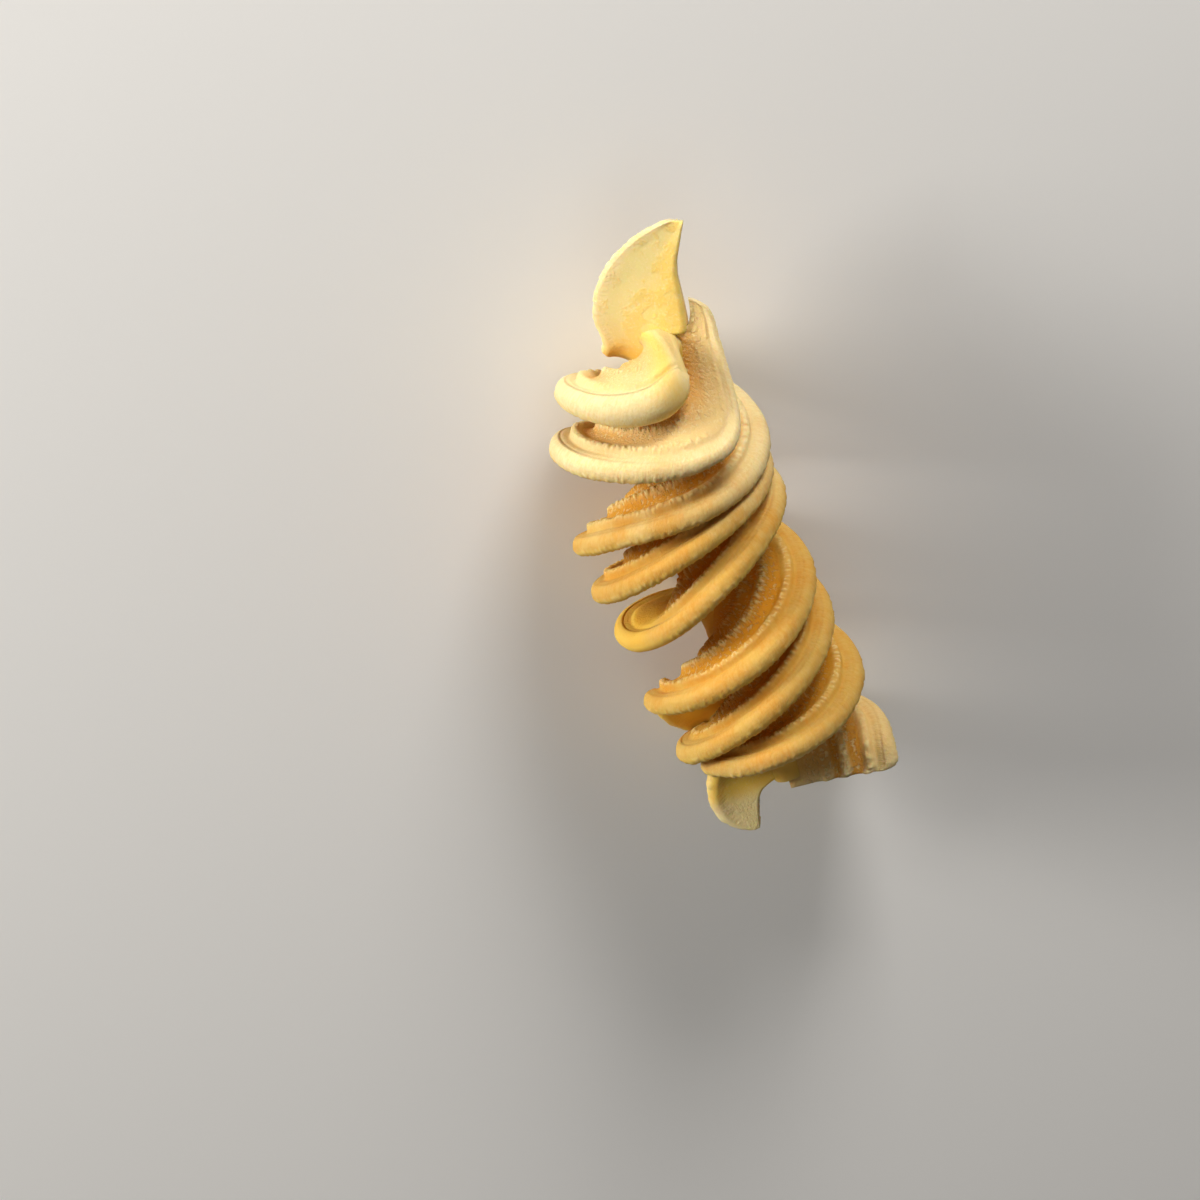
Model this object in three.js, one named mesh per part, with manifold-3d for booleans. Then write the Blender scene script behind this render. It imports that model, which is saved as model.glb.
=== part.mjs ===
// Fusillone, a large twisted pasta piece, lying on its side.
// Millimetres. +X runs along the twist axis to the trimmed top end, +Z is up,
// the centre of the footprint is the origin.
//
// Three blades wind right-handed round a thin core. Each blade has a rounded
// bead along its rim, grooves and low ridges on the side that looks to +X, and a
// smooth side that looks to -X. Towards the core the blades rise to +X. They are
// cut at both ends: at the top one of them runs on as a free crescent.
import * as THREE from "three";
import Module from "manifold-3d";

const wasm = await Module();
wasm.setup();

// ---- driving dimensions (mm, degrees) ----
const VIEW_TILT = 24;       // lean of the plane in which the axis bends, from the vertical
const BEAD_SHARE = 0.42;    // largest bead radius as a share of the blade's reach
const BEAD_START = 100;     // bead arc, measured from the rim direction
const BEAD_END = -90;
const BEAD_POINTS = 5;
const BOW_POWER = 2.2;      // a blade rises to +X by bow * (1 - (radius / reach) ** BOW_POWER)
const END_ROUND = [[0, 0.6], [0.08, 0.86], [0.25, 1]]; // [distance from the end, thickness factor]
const BLUNT_ROUND = [[0, 0.3], [0.1, 0.55], [0.35, 0.8], [0.8, 0.96], [1.3, 1]]; // end of the thick curl
const TURN_STEP = 11;       // largest turn between two sections
const AXIS_STEP = 1.3;      // largest way along the axis between two sections
const CORE_SIDES = 12;
const CORE_STEP = 1.6;
const FLAT_LEVEL = -8.98;   // level at which the lowest rims are rubbed flat
const TRIM_SIZE = 200;
const PASTA_COLOUR = 0xe9c877;

// centreline against the station x: sideways shift, rise, sideways slope, nod
const SPINE_X = [-4, 0, 8, 16, 24, 28, 31, 34, 37, 40, 43, 46, 49, 53];
const SPINE_SIDE = [0.1, 0.2, 0.4, -0.2, -0.3, -0.3, 0.2, 1.0, 1.9, 3.0, 4.3, 5.9, 7.7, 10.0];
const SPINE_RISE = [0, 0, 0, 0, 0, 0, 0.1, 0.25, 0.6, 0.95, 1.25, 1.45, 1.55, 1.6];
const SPINE_SWAY = [4, 7.7, 11, 3.7, -1, 5.8, 13.5, 19, 27, 31, 31.5, 32, 32, 31];
const SPINE_NOD = [-3, -1.5, 4, 1.8, -1.5, -1, 5, 9.3, 12, 15, 14, 12, 9, 6.4];

// each blade: first and last station, then [stations, values] of
//   turn  - angle round the axis (0 up, +90 to -Y)
//   reach - radius of the rim        root - radius of the inner edge (0 at the core)
//   bead  - radius of the rim bead   bow  - how far it rises to +X at the core
//   ridged - share of the ridges on the upper side (1 where none is given)
const BLADES = [
  { // runs on past the others as the crescent
    span: [0.3, 51.9],
    turn: [[-4, 0, 2, 3.2, 3.6, 3.9, 4.2, 6.0, 10.4, 12, 18, 24, 27, 33, 36, 38.5, 41, 44, 53],
      [-291, -284, -279, -267, -250, -200, -147, -119, -90, -63, 70, 198, 272, 450, 542, 586, 608, 620, 626]],
    reach: [[0, 1, 3, 8, 37, 38.5, 39.5, 40.5, 41.5, 42.3, 43, 45, 46.6, 48, 49, 50, 51, 51.6, 51.9],
      [8.5, 9.3, 9.4, 9.2, 8.8, 7.1, 6.1, 5.6, 5.65, 5.9, 6.1, 6.25, 5.95, 5.4, 4.75, 3.95, 2.8, 1.95, 1.4]],
    root: [[0, 42.8, 43.7, 45.5, 46.6, 48, 49, 51.9], [0, 0, -1.85, -1.3, -0.8, -0.15, 0.05, 0.08]],
    bead: [[0, 36, 41, 44, 52], [0.88, 0.88, 0.7, 0.5, 0.4]],
    bow: [[0, 2, 6, 39, 43, 50], [0, 0.3, 2.4, 2.4, 0.6, 0.2]],
  },
  { // ends in a thick blunt curl
    span: [0, 42.7],
    turn: [[-4, 0, 6, 12, 18, 24, 30, 36.1, 39, 41, 42.7],
      [-655, -591, -432, -341, -203, -66, 93, 244, 310, 357, 384]],
    reach: [[0, 2, 5, 7.5, 36, 39, 41, 42.7], [8.3, 8.5, 8.3, 9.1, 8.9, 8.8, 8.4, 7.0]],
    root: [[0, 42.7], [0, 0]],
    bead: [[0, 34, 36, 39, 41, 42.7], [0.88, 0.9, 1.0, 1.3, 1.75, 1.9]],
    bow: [[0, 4, 38, 42.7], [1.6, 2.4, 2.4, 1.4]],
    ridged: [[0, 3.4, 4.2, 7.2, 8.4, 36, 39.5], [1, 1, 0, 0, 1, 1, 0]],
    endRound: BLUNT_ROUND,
  },
  { // widest turn near the top, spoon-like dip low down, small lobe at the bottom
    span: [-2.9, 46.3],
    turn: [[-4, -1, 1, 3.3, 6, 12, 16, 18.2, 19.3, 24, 30, 33.4, 37.3, 40, 43, 46.6],
      [-463, -461, -458, -449, -390, -216, -166, -116, -62, 34, 190, 266, 383, 418, 435, 454]],
    reach: [[-2.9, -2.4, -1.4, 0, 1.8, 3.3, 5, 7, 15, 18.5, 22, 34, 38, 41, 44, 45.8, 46.1, 46.3],
      [5.0, 6.0, 7.0, 7.3, 6.9, 6.4, 7.6, 9.2, 9.2, 8.6, 9.2, 9.4, 9.8, 7.05, 4.7, 3.4, 2.8, 2.1]],
    root: [[-2.9, -1.6, 0, 0.9, 1.5, 43.8, 44.1, 44.4, 45.2, 46.3],
      [3.9, 3.5, 2.7, 1.2, 0, 0, 1.2, 1.95, 1.9, 1.5]],
    bead: [[-3, 0, 28, 33, 35.5, 37.5, 39.5, 42, 46], [0.8, 0.88, 0.9, 1.15, 1.05, 0.75, 0.55, 0.42, 0.38]],
    bow: [[-3, 3, 6, 12, 15.5, 19, 22, 37, 40, 43], [0.3, 0.8, 2.3, 2.3, 0.2, 0.2, 2.3, 2.3, 1.3, 0.2]],
    ridged: [[0, 12.5, 14, 19.5, 21, 33, 37], [1, 1, 0, 0, 1, 1, 0]],
  },
];

// core: first and last station, radius against x
const CORE = { span: [1.3, 43.0], radius: [[0, 5, 40, 45.4], [1.3, 1.5, 1.4, 1.2]] };

// half thickness of a blade, in bead radii, against the fraction of the way from
// the axis to the bead: upper side with ridges and without, lower side
const RIDGED_HALF = [
  [0, 0.14, 0.24, 0.31, 0.39, 0.49, 0.585, 0.645, 0.71, 0.775, 0.815, 0.85, 0.88, 0.905, 0.93, 0.96, 1],
  [1.2, 1.0, 0.80, 0.74, 1.0, 0.62, 0.98, 0.62, 0.42, 0.62, 0.98, 1.02, 0.74, 0.60, 0.76, 0.92, 0.98]];
const FLAT_HALF = [
  [0, 0.2, 0.4, 0.7, 0.84, 0.88, 0.905, 0.93, 1],
  [1.2, 0.95, 0.85, 0.82, 0.88, 0.80, 0.74, 0.84, 0.98]];
const LOWER_HALF = [[0, 0.15, 0.3, 0.6, 0.85, 1], [1.2, 0.95, 0.72, 0.66, 0.78, 0.98]];
const UPPER_AT = [0, 0.30, 0.49, 0.585, 0.71, 0.83, 0.905]; // where the upper side is sampled
const LOWER_AT = [0.72, 0.36, 0];                           // and the lower side
// ---- end of driving dimensions ----

const RAD = Math.PI / 180;
const DIFF = 1e-3; // step of the numeric derivatives

// smooth monotone interpolation of a key table
function table([xs, ys], xIn) {
  const n = xs.length;
  const x = Math.min(Math.max(xIn, xs[0]), xs[n - 1]);
  let i = 0;
  while (i < n - 2 && x >= xs[i + 1]) i++;
  const step = (k) => xs[k + 1] - xs[k];
  const slope = (k) => (ys[k + 1] - ys[k]) / step(k);
  const tangent = (k) => {
    if (k === 0) return slope(0);
    if (k === n - 1) return slope(n - 2);
    const [a, b] = [slope(k - 1), slope(k)];
    if (a * b <= 0) return 0;
    const w1 = 2 * step(k) + step(k - 1);
    const w2 = step(k) + 2 * step(k - 1);
    return (w1 + w2) / (w1 / a + w2 / b);
  };
  const h = step(i);
  const t = (x - xs[i]) / h;
  return (2 * t ** 3 - 3 * t ** 2 + 1) * ys[i] + (t ** 3 - 2 * t ** 2 + t) * h * tangent(i)
    + (3 * t ** 2 - 2 * t ** 3) * ys[i + 1] + (t ** 3 - t ** 2) * h * tangent(i + 1);
}

// point of the bent axis and the three directions of the cross section there
function section(x) {
  const at = (ys) => table([SPINE_X, ys], x);
  const view = VIEW_TILT * RAD;
  const sway = at(SPINE_SWAY) * RAD;
  const tilt = view + at(SPINE_NOD) * RAD;
  const toView = new THREE.Vector3(Math.sin(view), 0, Math.cos(view));
  const alongView = new THREE.Vector3(Math.cos(view), 0, -Math.sin(view));
  const right = new THREE.Vector3(0, -1, 0);
  const mix = (r, a, v) => new THREE.Vector3().addScaledVector(right, r)
    .addScaledVector(alongView, a).addScaledVector(toView, v);
  return {
    centre: new THREE.Vector3(x, -at(SPINE_SIDE), at(SPINE_RISE)),
    axis: mix(Math.sin(sway) * Math.cos(tilt), Math.cos(sway) * Math.cos(tilt), Math.sin(tilt)),
    side: mix(Math.cos(sway), -Math.sin(sway), 0),
    front: mix(-Math.sin(sway) * Math.sin(tilt), -Math.cos(sway) * Math.sin(tilt), Math.cos(tilt)),
  };
}

// point of a blade's mid surface at station x and radius rho
function midPoint(blade, x, rho, reach) {
  const s = section(x);
  const turn = table(blade.turn, x) * RAD;
  const u = Math.min(Math.max(rho / reach, 0), 1.05);
  const rise = table(blade.bow, x) * (1 - u ** BOW_POWER);
  return s.centre.addScaledVector(s.side, rho * Math.sin(turn))
    .addScaledVector(s.front, rho * Math.cos(turn)).addScaledVector(s.axis, rise);
}

// mid point with the surface normal (to +X) and the direction out to the rim
function midFrame(blade, x, rho, reach) {
  const p = (dx, dr) => midPoint(blade, x + dx, rho + dr, reach);
  const along = p(DIFF, 0).sub(p(-DIFF, 0));
  const outward = p(0, DIFF).sub(p(0, -DIFF));
  const normal = new THREE.Vector3().crossVectors(outward, along).normalize();
  const rimward = new THREE.Vector3().crossVectors(along, normal).normalize();
  if (rimward.dot(outward) < 0) rimward.negate();
  return { point: p(0, 0), normal, rimward };
}

// stations close enough for the turn and the way along the axis
function stations(blade) {
  const [first, last] = blade.span;
  const endRound = blade.endRound ?? END_ROUND;
  const clear = 0.3; // kept between the closing sections and their neighbours
  const fine = 0.01;
  const xs = [];
  let passed = 1;
  for (let x = first + clear; x < last - endRound.at(-1)[0] - clear / 4; x += fine) {
    if (passed >= 1) {
      xs.push(x);
      passed -= 1;
    }
    const rate = Math.abs(table(blade.turn, x + fine) - table(blade.turn, x)) / fine;
    passed += fine * Math.max(rate / TURN_STEP, 1 / AXIS_STEP);
  }
  const start = END_ROUND.map(([d, k]) => [first + d, k]);
  const end = endRound.map(([d, k]) => [last - d, k]).reverse();
  return [...start, ...xs.map((x) => [x, 1]), ...end];
}

// closed loop round one section: upper side outwards, bead, lower side inwards
function bladeLoop(blade, x, thin) {
  const reach = table(blade.reach, x);
  const bead = Math.min(table(blade.bead, x), reach * BEAD_SHARE);
  const root = table(blade.root, x);
  const ridged = blade.ridged ? table(blade.ridged, x) : 1;
  const rim = reach - bead;
  const upperHalf = (share) => ridged * table(RIDGED_HALF, share) + (1 - ridged) * table(FLAT_HALF, share);
  const lowerHalf = (share) => table(LOWER_HALF, share);
  const loop = [];
  const put = (u, half, sign) => {
    const rho = root + (rim - root) * u;
    const h = sign * bead * thin * half(Math.min(Math.max(rho / rim, 0), 1));
    const f = midFrame(blade, x, rho, reach);
    loop.push(f.point.addScaledVector(f.normal, h));
  };
  UPPER_AT.forEach((u) => put(u, upperHalf, 1));
  const f = midFrame(blade, x, rim, reach);
  for (let k = 0; k < BEAD_POINTS; k++) {
    const a = (BEAD_START + (BEAD_END - BEAD_START) * k / (BEAD_POINTS - 1)) * RAD;
    const [out, up] = [bead * thin * Math.cos(a), bead * thin * Math.sin(a)];
    loop.push(f.point.clone().addScaledVector(f.rimward, out).addScaledVector(f.normal, up));
  }
  LOWER_AT.forEach((u) => put(u, lowerHalf, -1));
  return loop;
}

// closed solid through a row of equal loops, each end closed by triangles
// strung between the two halves of its loop
function loft(loops) {
  const n = loops[0].length;
  const cap = (loop, base, flip) => {
    let [i, j] = [0, n - 1];
    while (j - i > 1) {
      const ahead = loop[i + 1].distanceTo(loop[j]) < loop[i].distanceTo(loop[j - 1]);
      const k = ahead ? i + 1 : j - 1;
      faces.push(...(flip ? [i, j, k] : [i, k, j]).map((v) => base + v));
      if (ahead) i++; else j--;
    }
  };
  const points = loops.flat().flatMap((p) => [p.x, p.y, p.z]);
  const faces = [];
  for (let i = 0; i < loops.length - 1; i++) {
    for (let j = 0; j < n; j++) {
      const [a, b] = [i * n + j, i * n + (j + 1) % n];
      faces.push(a, b, a + n, b, b + n, a + n);
    }
  }
  cap(loops[0], 0, true);
  cap(loops[loops.length - 1], (loops.length - 1) * n, false);
  const solid = (tris) => new wasm.Manifold(new wasm.Mesh({
    numProp: 3, vertProperties: new Float32Array(points), triVerts: new Uint32Array(tris) }));
  const made = solid(faces);
  if (made.volume() > 0) return made;
  const turned = [];
  for (let k = 0; k < faces.length; k += 3) turned.push(faces[k], faces[k + 2], faces[k + 1]);
  return solid(turned);
}

function bladeSolid(blade) {
  return loft(stations(blade).map(([x, thin]) => bladeLoop(blade, x, thin)));
}

function coreSolid() {
  const [first, last] = CORE.span;
  const steps = Math.round((last - first) / CORE_STEP);
  const loops = [];
  for (let i = 0; i <= steps; i++) {
    const x = first + (last - first) * i / steps;
    const s = section(x);
    const r = table(CORE.radius, x);
    const loop = [];
    for (let k = 0; k < CORE_SIDES; k++) {
      const a = 2 * Math.PI * k / CORE_SIDES;
      loop.push(s.centre.clone().addScaledVector(s.side, r * Math.sin(a))
        .addScaledVector(s.front, r * Math.cos(a)));
    }
    loops.push(loop);
  }
  return loft(loops);
}

function boxSolid(width, depth, height, x, y, z) {
  const box = new THREE.BoxGeometry(width, depth, height);
  const at = box.getAttribute("position");
  const seen = new Map();
  const points = [];
  const faces = [...box.index.array].map((i) => {
    const p = [at.getX(i) + x, at.getY(i) + y, at.getZ(i) + z];
    const key = p.join();
    if (!seen.has(key)) {
      seen.set(key, points.length / 3);
      points.push(...p);
    }
    return seen.get(key);
  });
  return new wasm.Manifold(new wasm.Mesh({
    numProp: 3, vertProperties: new Float32Array(points), triVerts: new Uint32Array(faces) }));
}

// one piece of dough: core and blades joined, rubbed flat where it lies
let dough = coreSolid();
for (const blade of BLADES) dough = dough.add(bladeSolid(blade));
const above = boxSolid(TRIM_SIZE, TRIM_SIZE, TRIM_SIZE, 0, 0, FLAT_LEVEL + TRIM_SIZE / 2);
dough = dough.intersect(above);

const mesh = dough.getMesh();
const geometry = new THREE.BufferGeometry();
geometry.setAttribute("position", new THREE.Float32BufferAttribute(mesh.vertProperties, 3));
geometry.setIndex([...mesh.triVerts]);
geometry.computeBoundingBox();
const { min, max } = geometry.boundingBox;
geometry.translate(-(min.x + max.x) / 2, -(min.y + max.y) / 2, -min.z);
geometry.computeVertexNormals();

const fusillone = new THREE.Mesh(geometry, new THREE.MeshStandardMaterial({
  color: PASTA_COLOUR, roughness: 0.6, metalness: 0 }));
fusillone.name = "fusillone";

const part = new THREE.Group();
part.name = "fusilloni";
part.add(fusillone);
export default part;
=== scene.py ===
import math

import bpy
import numpy as np
from mathutils import Matrix, Vector


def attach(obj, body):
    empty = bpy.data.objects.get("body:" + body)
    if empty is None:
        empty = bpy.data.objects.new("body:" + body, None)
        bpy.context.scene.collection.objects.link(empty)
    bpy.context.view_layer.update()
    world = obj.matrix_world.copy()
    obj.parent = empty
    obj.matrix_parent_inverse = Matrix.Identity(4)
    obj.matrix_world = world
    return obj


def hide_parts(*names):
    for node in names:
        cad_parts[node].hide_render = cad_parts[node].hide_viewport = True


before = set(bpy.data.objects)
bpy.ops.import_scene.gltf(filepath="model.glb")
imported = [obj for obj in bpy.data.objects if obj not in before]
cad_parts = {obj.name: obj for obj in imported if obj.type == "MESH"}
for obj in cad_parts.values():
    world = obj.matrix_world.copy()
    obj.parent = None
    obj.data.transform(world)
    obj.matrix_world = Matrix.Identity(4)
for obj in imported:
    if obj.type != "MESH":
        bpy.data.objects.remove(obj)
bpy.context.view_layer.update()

bl_info = {
    "name": "Fusillone",
    "version": (1, 0, 0),
    "blender": (4, 5, 0),
    "location": "3D View > Sidebar > Fusillone",
    "description": "Large dry twisted pasta piece with three beaded blades, lying on a pale floor",
    "category": "Object",
}

MM = 0.001
NODE = "fusillone"
ROW_ORIGIN = (25.050, -0.150, -8.98)  # mm, foot centre of the piece in the twist's own coordinates

# ---- form of the twist (mm, degrees) ----
VIEW_TILT = 24.0  # the direction to the viewer leans this far from +Z towards +X
# the bent axis at its stations: where it lies to the side (-Y) and above, and how far
# the blades' sections sway to the side and nod to the viewer there
SPINE_X = (-4, 0, 8, 16, 24, 28, 31, 34, 37, 40, 43, 46, 49, 53)
SPINE_SIDE = (0.1, 0.2, 0.4, -0.2, -0.3, -0.3, 0.2, 1.0, 1.9, 3.0, 4.3, 5.9, 7.7, 10.0)
SPINE_RISE = (0, 0, 0, 0, 0, 0, 0.1, 0.25, 0.6, 0.95, 1.25, 1.45, 1.55, 1.6)
SPINE_SWAY = (4, 7.7, 11, 3.7, -1, 5.8, 13.5, 19, 27, 31, 31.5, 32, 32, 31)
SPINE_NOD = (-3, -1.5, 4, 1.8, -1.5, -1, 5, 9.3, 12, 15, 14, 12, 9, 6.4)

# each blade: span from the first to the last station, then key tables (stations, values)
# of its turn round the axis, rim reach, inner edge (root), rim bead and bow towards +X;
# rough is 1 where the upper face is torn and ridged is 1 where it has ridges, and
# round_end is the length over which a thick blunt end rounds off
BLADES = {
    "blade_crescent": dict(
        span=(0.3, 51.9),
        turn=((-4, 0, 2, 3.2, 3.6, 3.9, 4.2, 6.0, 10.4, 12, 18, 24, 27, 33, 36, 38.5, 41, 44, 53),
              (-291, -284, -279, -267, -250, -200, -147, -119, -90, -63, 70, 198, 272, 450, 542, 586, 608,
               620, 626)),
        reach=((0, 1, 3, 8, 37, 38.5, 39.5, 40.5, 41.5, 42.3, 43, 45, 46.6, 48, 49, 50, 51, 51.6, 51.9),
               (8.5, 9.3, 9.4, 9.2, 8.8, 7.1, 6.1, 5.6, 5.65, 5.9, 6.1, 6.25, 5.95, 5.4, 4.75, 3.95, 2.8,
                1.95, 1.4)),
        root=((0, 42.8, 43.7, 45.5, 46.6, 48, 49, 51.9), (0, 0, -1.85, -1.3, -0.8, -0.15, 0.05, 0.08)),
        bead=((0, 36, 41, 44, 52), (0.88, 0.88, 0.7, 0.5, 0.4)),
        bow=((0, 2, 6, 39, 43, 50), (0.0, 0.3, 2.4, 2.4, 0.6, 0.2)),
    ),
    "blade_curl": dict(
        span=(0.0, 42.7),
        turn=((-4, 0, 6, 12, 18, 24, 30, 36.1, 39, 41, 42.7),
              (-655, -591, -432, -341, -203, -66, 93, 244, 310, 357, 384)),
        reach=((0, 2, 5, 7.5, 36, 39, 41, 42.7), (8.3, 8.5, 8.3, 9.1, 8.9, 8.8, 8.4, 7.0)),
        root=((0, 42.7), (0, 0)),
        bead=((0, 34, 36, 39, 41, 42.7), (0.88, 0.9, 1.0, 1.3, 1.75, 1.9)),
        bow=((0, 4, 38, 42.7), (1.6, 2.4, 2.4, 1.4)),
        rough=((0, 36.5, 42), (1, 1, 0.12)),
        ridged=((0, 3.4, 4.2, 7.2, 8.4, 36, 39.5), (1, 1, 0.0, 0.0, 1, 1, 0.0)),
        round_end=1.3,
    ),
    "blade_spoon": dict(
        span=(-2.9, 46.3),
        turn=((-4, -1, 1, 3.3, 6, 12, 16, 18.2, 19.3, 24, 30, 33.4, 37.3, 40, 43, 46.6),
              (-463, -461, -458, -449, -390, -216, -166, -116, -62, 34, 190, 266, 383, 418, 435, 454)),
        reach=((-2.9, -2.4, -1.4, 0, 1.8, 3.3, 5, 7, 15, 18.5, 22, 34, 38, 41, 44, 45.8, 46.1, 46.3),
               (5.0, 6.0, 7.0, 7.3, 6.9, 6.4, 7.6, 9.2, 9.2, 8.6, 9.2, 9.4, 9.8, 7.05, 4.7, 3.4, 2.8, 2.1)),
        root=((-2.9, -1.6, 0, 0.9, 1.5, 43.8, 44.1, 44.4, 45.2, 46.3),
              (3.9, 3.5, 2.7, 1.2, 0, 0, 1.2, 1.95, 1.9, 1.5)),
        bead=((-3, 0, 28, 33, 35.5, 37.5, 39.5, 42, 46),
              (0.8, 0.88, 0.9, 1.15, 1.05, 0.75, 0.55, 0.42, 0.38)),
        bow=((-3, 3, 6, 12, 15.5, 19, 22, 37, 40, 43), (0.3, 0.8, 2.3, 2.3, 0.2, 0.2, 2.3, 2.3, 1.3, 0.2)),
        rough=((0, 12.5, 14, 19.5, 21, 35, 39), (1, 1, 0.15, 0.15, 1, 1, 0.45)),
        ridged=((0, 12.5, 14, 19.5, 21, 33, 37), (1, 1, 0.0, 0.0, 1, 1, 0.0)),
    ),
}
EVEN = ((0, 1), (1, 1))
CORE_SPAN = (1.3, 43.0)
CORE_RADIUS = ((0, 5, 40, 45.4), (1.3, 1.5, 1.4, 1.2))

# half thickness, in bead radii, against the share of the way to the bead: of an upper
# face with ridges, of an upper face without them and of a lower face
RIDGED_HALF = (
    (0, 0.14, 0.24, 0.31, 0.39, 0.49, 0.585, 0.645, 0.71, 0.775, 0.815, 0.85, 0.88, 0.905, 0.93, 0.96, 1),
    (1.2, 1.0, 0.80, 0.74, 1.0, 0.62, 0.98, 0.62, 0.42, 0.62, 0.98, 1.02, 0.74, 0.60, 0.76, 0.92, 0.98))
SMOOTH_HALF = (
    (0, 0.2, 0.4, 0.7, 0.84, 0.88, 0.905, 0.93, 1),
    (1.2, 0.95, 0.85, 0.82, 0.88, 0.80, 0.74, 0.84, 0.98))
LOWER_HALF = ((0, 0.15, 0.3, 0.6, 0.85, 1), (1.2, 0.95, 0.72, 0.66, 0.78, 0.98))

BEAD_SHARE = 0.42  # a bead is at most this share of its blade's reach
BOW_POWER = 2.2  # the bow falls off with this power of the way out to the rim
PAST_RIM = 1.05  # the way out is followed to just past the rim
BEAD_START, BEAD_END = 100.0, -90.0  # round the bead, from the upper face to the lower one

# ---- mesh ----
RIM_STATIONS = 1290
RIM_SAMPLES = 6000  # points at which the length of a rim is measured
CORE_STATIONS = 220
UPPER_POINTS = 44
UPPER_CROWDING = 0.8  # below 1 the points of the upper face crowd towards the rim
LOWER_POINTS = 14
BEAD_POINTS = 17
MERGE_DISTANCE = 2e-6  # m
DIFF = 1e-3  # mm, step of the numeric slopes
END_ROUND = 0.28  # mm over which an ordinary cut end rounds off
# rows that close an end: (share of the rounded length from the cut inwards, thickness)
END_ROWS = ((0.0, 0.0), (0.0, 0.72), (0.1, 0.86), (0.3, 0.95), (0.6, 0.99), (1.0, 1.0))
BLUNT_ROWS = ((0.0, 0.0), (0.0, 0.3), (0.04, 0.45), (0.1, 0.58), (0.2, 0.72), (0.35, 0.84), (0.55, 0.93),
              (0.8, 0.98), (1.0, 1.0))

# ---- relief ----
# noise: waves per mm along the rim and out to it
SLOW_RATES = (0.25, 0.2)
STRAND_RATES = (2.6, 1.1)
FLAKE_RATES = (2.9, 1.9)
NICK_RATES = (2.7, 0.8)
LINE_RATES = (4.0, 1.2)
CHIP_RATES = (2.3, 2.6)
# added to the seed, so that no two noises are alike
STRAND_SEED, FLAKE_SEED, NICK_SEED = 9, 21, 40
BLADE_SEED_STEP = 31
# bands across the upper face, in shares of the way to the bead: (rise, full, fall, none)
INNER_TEARS = (0.33, 0.37, 0.42, 0.46)
MIDDLE_TEARS = (0.54, 0.57, 0.61, 0.65)
OUTER_TEARS = (0.79, 0.815, 0.85, 0.88)
CHIPPED = (0.16, 0.26, 0.70, 0.78)
# the grooves, where amber is painted as their shade
INNER_GROOVE_SHADE = (0.44, 0.48, 0.52, 0.55)
OUTER_GROOVE_SHADE = (0.62, 0.66, 0.75, 0.79)
OUTER_CREST = (0.78, 0.815, 0.85, 0.885)
NICKED = (-0.95, -0.6, 0.25, 0.6)  # the same round the bead, by which way its surface looks

# ---- finish ----
# zones along X, in mm from the middle of the piece: (where one begins, where it is full)
# the end that turns cream: partly drier, floury dough, partly painted light towards the top end
DRY_AND_LIT_END = (7.0, 18.0)
LOW_END = (-16.5, -22.5)
FREE_TOP = (16.5, 19.5)
FREE_LOBE = (-23.5, -25.5)
FLOURED_LOBE = (-23.0, -25.5)
# painted light: the side towards the right of the picture turns creamier
LIT_SIDE = (2.0, -9.0)  # the same along Y
CLOUD_SHIFT, LIT_SIDE_SHIFT = 8.0, 4.5  # mm by which the clouds and the painted light of that side move the end that turns cream
BUMP_DEPTH = 0.0002  # m
SKIN_IOR = 1.45
SKIN_SPECULAR = 0.25
SKIN_GLOW = 0.4
GLOW_RADIUS = (1.0, 0.55, 0.18)
GLOW_SCALE = 0.0007  # m

# ---- stage ----
FLOOR_HALF = 1.5  # m
FLOOR_ROUGHNESS = 0.85
PICTURE_LEAN = 22.5  # degrees between the twist's axis and the picture's upright
PICTURE_CENTRE = (22.7, 8.86, 0.0)  # mm, in the twist's own coordinates
SENSOR_WIDTH = 36.0  # mm
CLIP_START, CLIP_END = 0.01, 10.0  # m
LAMP_AIM = (0, 0, 0.009)  # m, the middle of the piece
# a lamp's direction from there, its size in m and its tint; the fill is above, on the
# viewer's side, moved by shares of the picture's right and up
KEY_WAY, KEY_SIZE, KEY_TINT = (0.58, 0.77, 0.24), 0.14, (1.0, 0.97, 0.92)
END_WAY, END_SIZE, END_TINT = (0.85, -0.45, 0.4), 0.12, (1.0, 0.97, 0.93)
FILL_RIGHT, FILL_UP, FILL_SIZE, FILL_TINT = 0.1, -0.6, 0.4, (1.0, 0.99, 0.97)
LAMP_DISTANCE, FILL_DISTANCE = 0.36, 0.6  # m
WORLD_TINT, WORLD_STRENGTH = (1.0, 0.97, 0.93, 1.0), 0.05


def table(keys, x):
    """Smooth monotone interpolation of a key table at the stations x."""
    xk, yk = np.asarray(keys[0], float), np.asarray(keys[1], float)
    h = np.diff(xk)
    slope = np.diff(yk) / h
    tangent = np.zeros(len(xk))
    tangent[0], tangent[-1] = slope[0], slope[-1]
    for i in range(1, len(xk) - 1):
        a, b = slope[i - 1], slope[i]
        if a * b > 0:
            w1, w2 = 2 * h[i] + h[i - 1], h[i] + 2 * h[i - 1]
            tangent[i] = (w1 + w2) / (w1 / a + w2 / b)
    x = np.clip(x, xk[0], xk[-1])
    i = np.clip(np.searchsorted(xk, x, side="right") - 1, 0, len(xk) - 2)
    t = (x - xk[i]) / h[i]
    return ((2 * t**3 - 3 * t**2 + 1) * yk[i] + (t**3 - 2 * t**2 + t) * h[i] * tangent[i]
            + (3 * t**2 - 2 * t**3) * yk[i + 1] + (t**3 - t**2) * h[i] * tangent[i + 1])


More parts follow.
